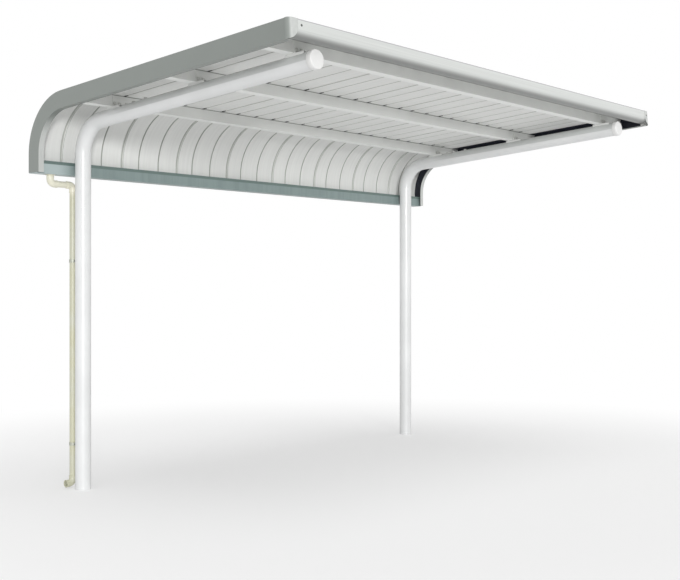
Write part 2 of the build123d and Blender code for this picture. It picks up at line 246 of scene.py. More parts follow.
# %% Faces of a corner cover
def corner_cover_faces(rows, columns):
    """Faces between rows, fans to the inner corner above and below, and one face at each end."""
    row, column = np.meshgrid(np.arange(rows - 1), np.arange(columns - 1), indexing="ij")
    first = row * columns + column
    corners = [first, first + columns, first + columns + 1, first + 1]
    quads = np.stack(corners, axis=-1).reshape(-1, 4)
    above, below = rows * columns, rows * columns + 1
    edge = np.arange(columns - 1)
    last = (rows - 1) * columns
    fan_above = np.stack([np.full_like(edge, above), edge, edge + 1], axis=-1)
    fan_below = np.stack([np.full_like(edge, below), last + edge + 1, last + edge], axis=-1)
    side_end = (np.arange(rows)[::-1] * columns).tolist() + [above, below]
    front_end = (np.arange(rows) * columns + columns - 1).tolist() + [below, above]
    return quads.tolist() + fan_above.tolist() + fan_below.tolist() + [side_end, front_end]


faces = corner_cover_faces(*inset.shape)
plan = np.concatenate([plan.reshape(-1, 2), [[corner_width, corner_length]] * 2])
inset = np.concatenate([inset.ravel(), [-cover_outside, -cover_inside]])
corner_covers = []
for side, roof_end, way in (("left", -0.2715, 1.0), ("right", 3.2715, -1.0)):
    points = on_roof(roof_end + way * plan[:, :1], full_run - plan[:, 1:], inset[:, None])
    turned_faces = faces if way > 0 else [face[::-1] for face in faces]
    cover = add_piece(f"bent_corner_cover_{side}", points, turned_faces)
    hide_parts(f"corner_cover_{side}")
    corner_covers.append(cover)

# %% [markdown]
# Hexagon bolts hold each purlin to its saddle and each saddle to its arm. Seen from above, a
# hexagon is a circle whose radius grows towards six corners: the flat's distance divided by the
# cosine of the angle from the middle of that flat. The top of a real head is turned off to a
# circle, so the last rings take the smaller of the two radii. A washer makes the first three rings.

# %% Hexagon bolts
def hexagon(flat, columns):
    """Radius round a hexagon: the flat's distance over the cosine of the angle from its middle."""
    angle = np.linspace(0.0, 2.0 * math.pi, columns, endpoint=False)
    return flat / np.cos(np.mod(angle, math.pi / 3.0) - math.pi / 6.0)


def bolt_head(flat, height, washer, washer_height, columns=36):
    """Rings of a washer with a fine bevel, then of a hexagon that is cut to a circle on top."""
    bevel = 0.0004
    sides = hexagon(flat, columns)
    round_top = np.minimum(sides, flat * 1.01)
    washer_ring = np.full(columns, washer)
    radii = np.stack([
        washer_ring, washer_ring, washer_ring - bevel, sides, sides, round_top, round_top * 0.93,
    ])
    top = washer_height + height
    heights = np.array([
        -bevel, washer_height - bevel, washer_height, washer_height,
        washer_height + height * 0.86, top, top,
    ])
    return turned_points(radii, heights, columns)


saddle_bolt = bolt_head(flat=0.0065, height=0.0055, washer=0.0095, washer_height=0.0016)
print("bolt head rings and columns:", saddle_bolt.shape[:2])

# %% [markdown]
# Each saddle has a plate that stands in front of the purlin's web, with two bolts side by side, and
# a foot on the arm with one more. The loops go through the three purlins and the two arms, so that
# all eighteen bolts follow from five measures.

# %% Bolts on the saddles
rear_purlin, front_purlin_setback = 0.1295, 0.2032
front_purlin = full_run - front_purlin_setback
purlin_step = (front_purlin - rear_purlin) / 2.0
purlin_runs = (front_purlin, rear_purlin, rear_purlin + purlin_step)
plate_front, plate_bolt_inset, plate_bolt_shift = 0.0035, 0.0640, 0.0170
foot_bolt_ahead, foot_top_inset = 0.0340, 0.08085
places, directions = [], []
for run in purlin_runs:
    for x in post_places:
        for shift in (-plate_bolt_shift, plate_bolt_shift):
            places.append(on_roof(x + shift, run + plate_front, plate_bolt_inset))
            directions.append(forward)
        places.append(on_roof(x, run + foot_bolt_ahead, foot_top_inset))
        directions.append(upward)
saddle_bolts = add_copies("saddle_bolts", saddle_bolt, places, directions)

# %% [markdown]
# Each arm has three more bolts on its crown in front of the rear purlin. They are a size larger and
# sit straight on the pipe, so the washer dips a little into its round top. Their distances are
# taken level from the posts' line, so the run follows from the slope.

# %% Bolts on the arms
arm_bolt = bolt_head(flat=0.0085, height=0.0070, washer=0.0105, washer_height=0.0020)
arm_bolt_distances = (0.395, 0.455, 0.557)
washer_dip = 0.0008
arm_top = arm_inset - pipe_radius
level_start = bend_centre[1] + math.sin(tilt) * (bend_radius - arm_top)
places = []
for x in post_places:
    for distance in arm_bolt_distances:
        run = (level_start + distance) / math.cos(tilt)
        places.append(on_roof(x, run, arm_top + washer_dip))
arm_bolts = add_copies("arm_bolts", arm_bolt, places, [upward] * len(places))

# %% [markdown]
# Roof screws have a small hexagon head on a wide sealing washer. They stand in the flat pans
# between the ribs, in a line over the middle of each purlin. There are many of them, so each has
# only a few dozen faces. The sheets lie side by side at even steps, so one step and the three pans
# of a sheet say where all of them are.

# %% Roof screws
def roof_screw(flat, washer, columns=12):
    """Rings of a domed sealing washer, then of a small hexagon head."""
    sides = hexagon(flat, columns)
    washer_ring = np.full(columns, washer)
    radii = np.stack([washer_ring, washer_ring - 0.0007, sides, sides * 0.94])
    return turned_points(radii, np.array([0.0, 0.0012, 0.0022, 0.0062]), columns)


first_joint, sheet_cover, joint_count = -0.068, 0.4283, 8
pan_middles = (0.0635, 0.203, 0.3535)
screws_from, screws_to = -0.23, 3.225
screw_setback, pan_inset = 0.0225, 0.01445
joint_lines = first_joint + sheet_cover * np.arange(joint_count)
pans = np.sort(np.concatenate([joint_lines + middle for middle in pan_middles]))
pans = pans[(pans > screws_from) & (pans < screws_to)]
places = [on_roof(x, run - screw_setback, pan_inset) for run in purlin_runs for x in pans]
screw = roof_screw(flat=0.0038, washer=0.0085)
roof_screws = add_copies("roof_screws", screw, places, [upward] * len(places))

# %% [markdown]
# The front is held by blind rivets: a low dome with a small hole in its middle, where the pin broke
# off. The dome is the outer part of a quarter ellipse, and the hole is a short step down. On the
# left the rivet sits beside the corner cover, and on the right it goes through the cover.

# %% Rivets on the front fascia
def rivet(radius, height, columns=20):
    """Rings of a dome, radius times cosine and height times sine, with a small sunk centre."""
    turn = np.linspace(0.0, math.pi / 2.0 * 0.78, 6)
    rings = np.concatenate([radius * np.cos(turn), [radius * 0.26, radius * 0.22]])
    heights = np.concatenate([height * np.sin(turn), [height * 0.94, height * 0.35]])
    return turned_points(rings[:, None], heights, columns)


fascia_rivet = rivet(radius=0.0060, height=0.0015)
left_rivet = on_roof(-0.1905, full_run, 0.026)
right_rivet = on_roof(3.2400, full_run + cover_outside, 0.030)
places = [left_rivet, right_rivet]
fascia_rivets = add_copies("fascia_rivets", fascia_rivet, places, [forward] * 2, 50.0)

# %% [markdown]
# The drain is push-fit plastic pipe. Each elbow's socket has a small rounded bead round its mouth,
# which catches the light and tells the eye that the pipe is in several lengths. A bead is a ring:
# a small circle carried round a large one, with one parameter for each.

# %% Rings as closed beads
def bead_points(centre, axis, radius, thickness, rows, columns):
    """Large circle of the radius round the axis, with a small circle of the thickness along it."""
    small, large = np.meshgrid(
        np.linspace(0.0, 2.0 * math.pi, rows, endpoint=False),
        np.linspace(0.0, 2.0 * math.pi, columns, endpoint=False), indexing="ij",
    )
    from_axis = radius + thickness * np.cos(small)
    along_axis = -thickness * np.sin(small)
    local = np.stack([from_axis * np.cos(large), from_axis * np.sin(large), along_axis], axis=-1)
    return np.einsum("ij,rcj->rci", facing(axis), local) + np.asarray(centre)


def add_beads(name, beads, columns=48, rows=12):
    """One mesh of several beads, each wrapped round its section too, so that nothing is open."""
    points = np.stack([bead_points(*bead, rows, columns) for bead in beads])
    starts = (np.arange(len(beads)) * rows * columns)[:, None, None]
    faces = (wrapped_quads(rows, rows, columns)[None] + starts).reshape(-1, 4)
    return add_piece(name, points, faces.tolist(), 60.0)


print("a bead of 12 rows and 48 columns has", len(wrapped_quads(12, 12, 48)), "faces")

# %% [markdown]
# The drain drops from its outlet, runs level towards the post, drops again beside it and ends in a
# shoe at the ground. Every bend has two socket mouths, so six beads mark three bends.

# %% Beads on the drain's sockets
outlet_x, drain_x, drain_y = -0.1590, -0.0080, 0.08805
outlet_mouth, branch_height, drop_mouth, shoe_height = 1.7716, 1.73007, 1.6885, 0.0267
elbow_reach, shoe_reach = 0.0416, 0.0456
lying, upright = (1, 0, 0), (0, 0, 1)
socket_mouths = [
    ((outlet_x, drain_y, outlet_mouth), upright),
    ((outlet_x + elbow_reach, drain_y, branch_height), lying),
    ((drain_x - elbow_reach, drain_y, branch_height), lying),
    ((drain_x, drain_y, drop_mouth), upright),
    ((drain_x, drain_y, shoe_height + elbow_reach), upright),
    ((drain_x - shoe_reach, drain_y, shoe_height), lying),
]
socket_radius, bead_thickness = 0.0206, 0.0014
beads = [(centre, axis, socket_radius, bead_thickness) for centre, axis in socket_mouths]
socket_beads = add_beads("drain_socket_beads", beads)

# %% [markdown]
# Each pipe clip has a small bolt through its stem, between the pipe and the post. A head on one
# side of the stem and a nut on the other are enough to make the clip read as one that opens.

# %% Bolts on the pipe clips
clip_bolt = bolt_head(flat=0.0040, height=0.0036, washer=0.0058, washer_height=0.0010, columns=24)
clip_heights = (0.250, 1.297)
stem_half, stem_y = 0.0040, 0.0573
places, directions = [], []
for height in clip_heights:
    for way in (-1.0, 1.0):
        places.append((drain_x + way * stem_half, stem_y, height))
        directions.append((way, 0.0, 0.0))
clip_bolts = add_copies("clip_bolts", clip_bolt, places, directions)

# %% [markdown]
# Where each post meets its arm the pipes butt together. A thin ring of sealant in that joint makes
# the faint line that shows on the real pipe just under the bend. It is a bead like the drain's,
# only wider and finer.

# %% Seal at the pipe splice
splice_height = 1.82415
seal_radius, seal_thickness = 0.04425, 0.00065
seals = [((x, 0.0, splice_height), upright, seal_radius, seal_thickness) for x in post_places]
seal_rings = add_beads("splice_seals", seals, columns=96, rows=8)

# %% [markdown]
# Now the finishes. Paint on steel is never one flat number: the coat is a touch thicker here and
# thinner there, its skin has a fine ripple like the peel of an orange, and its gloss wanders. Each
# finish below mixes two near tones by a slow noise, bends the surface by a fine one, and lets the
# roughness follow a third. The helpers are short names for single shader nodes, so that a finish
# can be read from top to bottom.

# %% A finish and its sockets
def new_finish(name, roughness, metallic=0.0, coat=0.0, level=0.5):
    """Material with one Principled shader whose even values are set on its own sockets."""
    finish = bpy.data.materials.new(name)
    finish.use_nodes = True
    shader = finish.node_tree.nodes["Principled BSDF"]
    shader.inputs["Roughness"].default_value = roughness
    shader.inputs["Metallic"].default_value = metallic
    shader.inputs["Coat Weight"].default_value = coat
    shader.inputs["Specular IOR Level"].default_value = level
    return finish


def feed(finish, value, socket):
    """Give a socket the output of another node, or else a plain number or colour."""
    if isinstance(value, bpy.types.NodeSocket):
        finish.node_tree.links.new(value, socket)
    elif isinstance(value, tuple) and len(value) == 3 and len(socket.default_value) == 4:
        socket.default_value = (*value, 1.0)
    else:
        socket.default_value = value


def feed_shader(finish, value, name):
    """Feed one of the shader's sockets, found by its name."""
    feed(finish, value, finish.node_tree.nodes["Principled BSDF"].inputs[name])


print("finishes can be made")

# %% [markdown]
# A finish has to know where it is and which way the surface faces. The object's own coordinates, in
# metres, give the place, and how far they reach along an axis gives a height, a run or an inset.
# Arithmetic on these marks out a line of dirt or a dusty half without any picture.

# %% Place, direction and arithmetic
def object_place(finish, stretch=(1.0, 1.0, 1.0)):
    """Output that gives each point's own coordinates, stretched along X, Y and Z."""
    place = finish.node_tree.nodes.new("ShaderNodeTexCoord")
    mapping = finish.node_tree.nodes.new("ShaderNodeMapping")
    mapping.inputs["Scale"].default_value = stretch
    feed(finish, place.outputs["Object"], mapping.inputs["Vector"])
    return mapping.outputs["Vector"]


def reach(finish, vector, direction):
    """Output that tells how far a vector reaches along a direction: the dot product of the two."""
    node = finish.node_tree.nodes.new("ShaderNodeVectorMath")
    node.operation = "DOT_PRODUCT"
    node.inputs[1].default_value = tuple(direction)
    feed(finish, vector, node.inputs[0])
    return node.outputs["Value"]


def faces_towards(finish, direction):
    """Output of 1 where the surface faces along the direction, and of -1 where it faces away."""
    outward = finish.node_tree.nodes.new("ShaderNodeNewGeometry").outputs["Normal"]
    return reach(finish, outward, direction)


def reckon(finish, operation, *values):
    """Output of one step of arithmetic on outputs or plain numbers."""
    node = finish.node_tree.nodes.new("ShaderNodeMath")
    node.operation = operation
    for value, socket in zip(values, node.inputs):
        feed(finish, value, socket)
    return node.outputs["Value"]


def both(finish, first, second):
    """Share of 1 only where both shares are 1: their product."""
    return reckon(finish, "MULTIPLY", first, second)


def ease(finish, source, start, end):
    """Output that eases from 0 where the source is at the start to 1 where it is at the end."""
    node = finish.node_tree.nodes.new("ShaderNodeMapRange")
    node.interpolation_type = "SMOOTHSTEP"
    node.inputs["From Min"].default_value = start
    node.inputs["From Max"].default_value = end
    feed(finish, source, node.inputs["Value"])
    return node.outputs["Result"]


def run_output(finish):
    """Output of the run: how far a point lies forward of the bend, along the slope."""
    along = reach(finish, object_place(finish), forward)
    return reckon(finish, "SUBTRACT", along, float(bend_centre @ forward))


def inset_output(finish):
    """Output of the inset: how deep a point lies under the roof's outer line, across the slope."""
    outer_line = float(bend_centre @ upward) + bend_radius
    return reckon(finish, "SUBTRACT", outer_line, reach(finish, object_place(finish), upward))


print("the roof's outer line reaches", round(float(bend_centre @ upward) + bend_radius, 4), "m")

# %% [markdown]
# Tones are written as they look on a screen, because that is how a maker picks a colour, and then
# turned into light values. A noise lets a tone, the gloss or the surface itself wander a little.

# %% Tones, noise, gloss and bumps
def linear(colour):
    """A colour as it looks on a screen, turned into the light values that a shader works in."""
    return tuple(c / 12.92 if c <= 0.04045 else ((c + 0.055) / 1.055) ** 2.4 for c in colour)


def shaded(colour, factor):
    """The colour made darker by a factor, as it looks on a screen, in light values."""
    return linear(tuple(c * factor for c in colour))


def blend_tones(finish, amount, first, second):
    """Output between two tones, the first at an amount of 0 and the second at 1."""
    node = finish.node_tree.nodes.new("ShaderNodeMix")
    node.data_type = "RGBA"
    feed(finish, amount, node.inputs["Factor"])
    feed(finish, first, node.inputs["A"])
    feed(finish, second, node.inputs["B"])
    return node.outputs["Result"]


def set_tone(finish, tone):
    """Feed a tone to the shader, and hand it on."""
    feed_shader(finish, tone, "Base Color")
    return tone


def noise(finish, vector, scale, detail=3.0, roughness=0.55):
    """Output of a noise at the scale, read at the vector."""
    node = finish.node_tree.nodes.new("ShaderNodeTexNoise")
    node.inputs["Scale"].default_value = scale
    node.inputs["Detail"].default_value = detail
    node.inputs["Roughness"].default_value = roughness
    feed(finish, vector, node.inputs["Vector"])
    return node.outputs["Fac"]


def set_roughness(finish, source, low, high):
    """Let the roughness wander between two values with a noise."""
    node = finish.node_tree.nodes.new("ShaderNodeMapRange")
    node.inputs["To Min"].default_value = low
    node.inputs["To Max"].default_value = high
    feed(finish, source, node.inputs["Value"])
    feed_shader(finish, node.outputs["Result"], "Roughness")


def set_bump(finish, source, strength, distance):
    """Bend the surface by a height."""
    node = finish.node_tree.nodes.new("ShaderNodeBump")
    node.inputs["Strength"].default_value = strength
    node.inputs["Distance"].default_value = distance
    feed(finish, source, node.inputs["Height"])
    feed_shader(finish, node.outputs["Normal"], "Normal")


print("middle grey is", round(linear((0.5, 0.5, 0.5))[0], 3), "in light")

# %% [markdown]
# Powder coat on the pipes and purlins: a satin skin with a soft ripple. One function makes all of
# it, so that pieces differ only in tone, as they would from one paint shop. On the purlins two
# things are added: a line of painted shade on the web close under the sheets, found by the inset,
# and a lighter tone on the underside as painted light. On the arms the upper half is painted
# darker as shade, with a clear edge where the pipe turns to look down. Round the bend it fades
# out.

# %% Powder coat
def powder_coat(name, colour, roughness, coat):
    """Two near tones mixed by a slow noise, a fine ripple, and a gloss led by a third noise."""
    finish = new_finish(name, roughness, coat=coat)
    place = object_place(finish)
    slow = ease(finish, noise(finish, place, 2.6, 4.0), 0.35, 0.65)
    tone = set_tone(finish, blend_tones(finish, slow, shaded(colour, 0.97), linear(colour)))
    set_roughness(finish, noise(finish, place, 9.0), roughness - 0.05, roughness + 0.07)
    set_bump(finish, noise(finish, place, 420.0, 2.0), 0.14, 0.0004)
    return finish, tone


def add_painted_light_underside(finish, tone, clean_and_painted_light):
    """Mix towards a lighter tone, painted light, where the face looks down, square to the slope."""
    down = ease(finish, faces_towards(finish, -upward), 0.6, 0.9)
    return set_tone(finish, blend_tones(finish, down, tone, linear(clean_and_painted_light)))


def add_front_line(finish, tone, fades_at, full_at, painted_shade):
    """Mix towards a painted shade on faces that look forward, easing in between two insets."""
    line = ease(finish, inset_output(finish), fades_at, full_at)
    forwards = reckon(finish, "GREATER_THAN", faces_towards(finish, forward), 0.7)
    return set_tone(finish, blend_tones(finish, both(finish, line, forwards), tone, linear(painted_shade)))


def add_painted_shade_upper_half(finish, tone, dust_and_shade_tone):
    """Mix towards a painted shade on what looks upwards, fading in with the run from the bend."""
    up = ease(finish, faces_towards(finish, upward), -0.16, 0.0)
    beyond_bend = ease(finish, run_output(finish), 0.0, 0.35)
    half = both(finish, up, beyond_bend)
    return set_tone(finish, blend_tones(finish, half, tone, linear(dust_and_shade_tone)))


coat_tone = (0.90, 0.905, 0.905)
frame_paint = powder_coat("frame paint", coat_tone, 0.34, 0.15)[0]
arm_paint, tone = powder_coat("arm paint", coat_tone, 0.34, 0.15)
# Painted shade on the arms' upper half.
add_painted_shade_upper_half(arm_paint, tone, (0.775, 0.785, 0.78))
purlin_paint, tone = powder_coat("purlin paint", (0.915, 0.92, 0.91), 0.42, 0.0)
# Painted light on the purlins' underside, and a line of painted shade under the sheets.
tone = add_painted_light_underside(purlin_paint, tone, (0.955, 0.96, 0.95))
add_front_line(purlin_paint, tone, fades_at=0.0205, full_at=0.0175, painted_shade=(0.50, 0.51, 0.50))
cover_white = powder_coat("moulded white", (0.955, 0.955, 0.95), 0.40, 0.0)[0]
print("powder coats made")

# %% [markdown]
# From below, each rib of a roof sheet is a narrow groove, and the shade in it is painted as a
# darker tone. The ribs stand at even steps, so the remainder of X over one sheet's width says how
# far a point is from the nearest rib, and that drives the painted shade. Each sheet has a joint rib
# at its edge and two field ribs between. The leftmost strip lies before the first joint and has
# none of the latter.

# %% Where the ribs are
field_ribs = (0.127, 0.279)
last_rib = float(joint_lines[-1]) + field_ribs[-1]
rib_soft = 0.0014


def near_line(finish, along, first, step, half, soft):
    """Share of 1 within the half width of lines repeated at each step, easing to 0 beside them."""
    count = reckon(finish, "DIVIDE", reckon(finish, "SUBTRACT", along, first), step)
    nearest = reckon(finish, "ROUND", count)
    part = reckon(finish, "ABSOLUTE", reckon(finish, "SUBTRACT", count, nearest))
    return ease(finish, reckon(finish, "MULTIPLY", part, step), half + soft, half)


def on_ribs(finish, x, joint_half, field_half):
    """Share of 1 on each joint rib and on the two field ribs beside it, as one repeated pattern."""
    halves = zip((0.0, *field_ribs), (joint_half, field_half, field_half))
    joint, second, third = [
        near_line(finish, x, first_joint + rib, sheet_cover, half, rib_soft)
        for rib, half in halves
    ]
    beyond_strip = reckon(finish, "GREATER_THAN", x, first_joint + 0.03)
    field = both(finish, reckon(finish, "MAXIMUM", second, third), beyond_strip)
    return reckon(finish, "MAXIMUM", joint, field)


print("last rib at X", round(last_rib, 4))

# %% [markdown]
# The roof sheets are coil-coated: the paint is rolled on lengthwise before the sheet is folded, so
# its faint streaks run along the ribs. A noise that changes fast along X and slowly along Y and Z
# draws them out. The side that faces the sky has caught some dust, so the tone there is mixed by
# the face's direction. Shade in the grooves is painted on faces that look down or forward, which is
# the inside, together with a dark line at each sheet's seam. Where a purlin closes a groove, hardly
# any light gets in, so the painted shade there is darkest. The last strip under the right end,
# beyond the last rib, is painted as dark as the fascia's lining, as shade.

# %% Coated roof sheet
def coated_sheet(name, colour, dust_and_shade_tone, shade_and_seam_tone, purlin_shade_tone, strip_shade_tone):
    """Lengthwise streaks, dust where the face looks up, and painted shade in the grooves on the
    inside.
    """
    finish = new_finish(name, 0.46)
    place = object_place(finish)
    drawn_out = object_place(finish, (60.0, 1.6, 1.6))
    streaks = ease(finish, noise(finish, drawn_out, 1.0, 5.0), 0.30, 0.70)
    clean_and_painted_light = blend_tones(finish, streaks, shaded(colour, 0.975), linear(colour))
    wide = object_place(finish, (3.0, 1.2, 1.2))
    patches = ease(finish, noise(finish, wide, 1.0, 6.0, 0.65), 0.30, 0.72)
    dust = blend_tones(finish, patches, linear(dust_and_shade_tone), linear(colour))
    upper = ease(finish, faces_towards(finish, vertical), 0.2, 0.9)
    tone = blend_tones(finish, upper, clean_and_painted_light, dust)
    x, run = reach(finish, place, sideways), run_output(finish)
    inside = reckon(finish, "LESS_THAN", faces_towards(finish, backward + vertical), -0.02)
    seam = near_line(finish, x, first_joint + 0.0104, sheet_cover, 0.0007, 0.0006)
    ribs = on_ribs(finish, x, joint_half=0.0062, field_half=0.0040)
    shade_and_seam = reckon(finish, "MAXIMUM", ribs, seam)
    wider_ribs = on_ribs(finish, x, joint_half=0.0100, field_half=0.0085)
    at_purlin = near_line(finish, run, rear_purlin + 0.008, purlin_step, 0.014, 0.006)
    purlin_shade = both(finish, wider_ribs, at_purlin)
    beyond_rib = reckon(finish, "GREATER_THAN", x, last_rib + 0.003)
    strip_shade = both(finish, beyond_rib, reckon(finish, "GREATER_THAN", run, 0.05))
    # Painted shade in the grooves and at the purlins, a dark seam line, and painted shade beyond
    # the last rib.
    for share, darker in ((shade_and_seam, shade_and_seam_tone), (purlin_shade, purlin_shade_tone), (strip_shade, strip_shade_tone)):
        tone = blend_tones(finish, both(finish, share, inside), tone, linear(darker))
    set_tone(finish, tone)
    set_roughness(finish, noise(finish, drawn_out, 2.0), 0.40, 0.54)
    set_bump(finish, noise(finish, place, 300.0, 2.0), 0.12, 0.0005)
    return finish


lining_tone = (0.13, 0.14, 0.19)
roof_finish = coated_sheet(
    "coated roof sheet", colour=(0.925, 0.928, 0.918), dust_and_shade_tone=(0.89, 0.89, 0.875),
    shade_and_seam_tone=(0.745, 0.755, 0.735), purlin_shade_tone=(0.13, 0.14, 0.13), strip_shade_tone=lining_tone,
)
print("roof sheet finish made")

# %% [markdown]
# The fascias are extruded aluminium with a silver coat. Some metal in the shader gives the soft
# change of tone round the nose. A fine grain drawn out along each extrusion stands for the die
# lines. Where a fascia turns down, its tone is painted darker as shade, and a fine line of painted
# shade runs along the top edge in front, where the roof sheets end. The sides take a darker copy
# of the silver as painted shade. The corner covers are bent from plain sheet: matt, light in front
# and painted as dark as the sides, as shade, where they turn round the corner.

# %% Silver coat in front
def silver_coat(name, colour, stretch, painted_shade_factor, roughness=0.40, metallic=0.30):
    """Two near tones mixed by a drawn-out noise, and a painted shade where the surface looks down.
    """
    finish = new_finish(name, roughness, metallic=metallic)
    place = object_place(finish)
    grain = ease(finish, noise(finish, object_place(finish, stretch), 1.0, 4.0), 0.32, 0.68)
    tone = blend_tones(finish, grain, shaded(colour, 0.965), linear(colour))
    # Painted shade where the coat turns to look down.
    down = ease(finish, faces_towards(finish, -upward), 0.25, 0.90)
    tone = set_tone(finish, blend_tones(finish, down, tone, shaded(colour, painted_shade_factor)))
    set_roughness(finish, noise(finish, place, 7.0), roughness - 0.04, roughness + 0.06)
    set_bump(finish, noise(finish, place, 500.0, 2.0), 0.08, 0.0003)
    return finish, tone


def add_shaded_side(finish, tone, side_shade_tone):
    """Mix in the painted side shade by how far the surface faces away from the shelter's middle."""
    x = reach(finish, object_place(finish), sideways)
    away = reckon(finish, "SIGN", reckon(finish, "SUBTRACT", x, middle_x))
    aside = ease(finish, both(finish, faces_towards(finish, sideways), away), 0.35, 0.85)
    return set_tone(finish, blend_tones(finish, aside, tone, linear(side_shade_tone)))


# Painted shade: the sides are a darker copy of the front's silver.
shaded_side_tone = (0.55, 0.57, 0.555)
along_front, along_side, even = (1.5, 260.0, 260.0), (260.0, 1.5, 1.5), (40.0, 40.0, 40.0)
silver_front, tone = silver_coat("silver front", (0.84, 0.85, 0.84), along_front, 0.64)
# Painted shade in a fine line along the front's top edge, under the roof sheets.
add_front_line(silver_front, tone, fades_at=0.0055, full_at=0.0035, painted_shade=(0.70, 0.70, 0.71))
silver_corner, tone = silver_coat("silver corner", (0.77, 0.78, 0.77), even, 0.72, 0.62, 0.0)
# Painted shade on the corner where it turns to the side.
add_shaded_side(silver_corner, tone, shaded_side_tone)
print("front and corner coats made")

# %% [markdown]
# A side fascia has a dark lining on the inner face of its wall, except close to the corner cover,
# where a pale tone is painted on as light. The wall is found by its X and by the way that it
# faces. Where the flange has turned upright at the front it catches more light.

# %% Silver coat on the sides
lining_end_run = full_run - 0.06
painted_light_tone, flange_tone = (0.92, 0.92, 0.91), (0.78, 0.79, 0.78)


def add_lining(finish, tone, wall_x, inward):
    """Mix towards the lining's tone on the wall's inner face, and to painted light by the cover."""
    looks_in = reckon(finish, "GREATER_THAN", faces_towards(finish, sideways * inward), 0.5)
    x = reach(finish, object_place(finish), sideways)
    at_wall = reckon(finish, "COMPARE", x, wall_x, 0.0006)
    by_cover = reckon(finish, "GREATER_THAN", run_output(finish), lining_end_run)
    # Painted light on the inner face close to the corner cover.
    inside = blend_tones(finish, by_cover, linear(lining_tone), linear(painted_light_tone))
    return set_tone(finish, blend_tones(finish, both(finish, looks_in, at_wall), tone, inside))


def add_front_flange(finish, tone):
    """Mix towards a lighter tone where the flange has turned upright and faces the front."""
    forwards = ease(finish, faces_towards(finish, -backward), 0.45, 0.98)
    return set_tone(finish, blend_tones(finish, forwards, tone, linear(flange_tone)))


silver_sides = {}
for side, wall_x, inward in (("left", -0.2699, 1.0), ("right", 3.2699, -1.0)):
    silver, tone = silver_coat(f"silver side {side}", shaded_side_tone, along_side, 0.95)
    add_front_flange(silver, add_lining(silver, tone, wall_x, inward))
    silver_sides[side] = silver
print("side coats made:", len(silver_sides))

# %% [markdown]
# The gutter is a blue-green grey with streaks where water has run. Its rim leans out and stays in
# its own shade, so a dark band follows it along the top, found by height. Towards the open end the
# coat is painted lighter, as light.

# %% Gutter coat
def gutter_coat(name, colour, rim, painted_light_end):
    """Downward streaks in two tones, painted light towards the left end, with a dark band at the
    rim.
    """
    finish = new_finish(name, 0.42)
    runs = object_place(finish, (40.0, 8.0, 2.0))
    place = object_place(finish)
    streaks = ease(finish, noise(finish, runs, 1.0, 5.0), 0.30, 0.66)
    tone = blend_tones(finish, streaks, shaded(colour, 0.95), linear(colour))
    # Painted light towards the open left end.
    towards_end = ease(finish, reach(finish, place, sideways), 0.02, -0.14)
    tone = blend_tones(finish, towards_end, tone, linear(painted_light_end))
    band = ease(finish, reach(finish, place, vertical), 1.8350, 1.8375)
    forwards = reckon(finish, "LESS_THAN", faces_towards(finish, backward), -0.6)
    set_tone(finish, blend_tones(finish, both(finish, band, forwards), tone, linear(rim)))
    set_roughness(finish, noise(finish, runs, 1.7), 0.36, 0.52)
    set_bump(finish, noise(finish, place, 380.0, 2.0), 0.12, 0.0004)
    return finish


gutter_finish = gutter_coat(
    "gutter coat", colour=(0.52, 0.58, 0.575), rim=(0.39, 0.46, 0.445), painted_light_end=(0.68, 0.73, 0.73)
)
print("gutter finish made")

# %% [markdown]
# The drain is cream plastic, a little yellowed in patches, with hardly any ripple. Its upper
# fittings, close under the gutter, are painted a lighter tone as light. The clips, bolts and
# rivets are dull bare metal, with a cloudy tone and a rougher skin.

# %% Drain plastic and bare metal
def cream_plastic(name, colour, painted_light_top):
    """Cream mixed towards a yellower tone by a slow patchy noise, and painted light up by the
    gutter.
    """
    finish = new_finish(name, 0.36)
    place = object_place(finish)
    aged = linear((colour[0] * 0.985, colour[1] * 0.975, colour[2] * 0.92))
    patches = ease(finish, noise(finish, place, 6.0, 4.0), 0.30, 0.72)
    tone = blend_tones(finish, patches, aged, linear(colour))
    # Painted light on the upper fittings, close under the gutter.
    by_gutter = ease(finish, reach(finish, place, vertical), 1.660, 1.695)
    set_tone(finish, blend_tones(finish, by_gutter, tone, linear(painted_light_top)))
    set_roughness(finish, noise(finish, place, 14.0), 0.30, 0.44)
    set_bump(finish, noise(finish, place, 160.0, 1.0), 0.05, 0.0004)
    return finish


def dull_metal(name, colour):
    """Bare metal whose tone and roughness both follow cloudy noises."""
    finish = new_finish(name, 0.45, metallic=0.25)
    place = object_place(finish)
    clouds = ease(finish, noise(finish, place, 70.0, 4.0), 0.30, 0.70)
    set_tone(finish, blend_tones(finish, clouds, shaded(colour, 0.90), linear(colour)))
    set_roughness(finish, noise(finish, place, 110.0), 0.34, 0.58)
    set_bump(finish, noise(finish, place, 900.0, 2.0), 0.15, 0.0002)
    return finish


drain_finish = cream_plastic("cream plastic", (0.785, 0.79, 0.725), (0.885, 0.875, 0.805))
clip_finish = dull_metal("dull clip", (0.74, 0.75, 0.70))
fixing_finish = dull_metal("dull bare metal", (0.87, 0.875, 0.86))
rivet_finish = dull_metal("weathered rivet", (0.36, 0.37, 0.36))
print("drain and fixings made")

# %% [markdown]
# With all finishes ready, each measured part takes the one that its name calls for. Only the
# material slot is filled: the part's shape and place are left alone.

# %% Dress the measured parts and the fittings
def dress(piece, finish):
    """Give the object one material."""
    piece.data.materials.clear()
    piece.data.materials.append(finish)


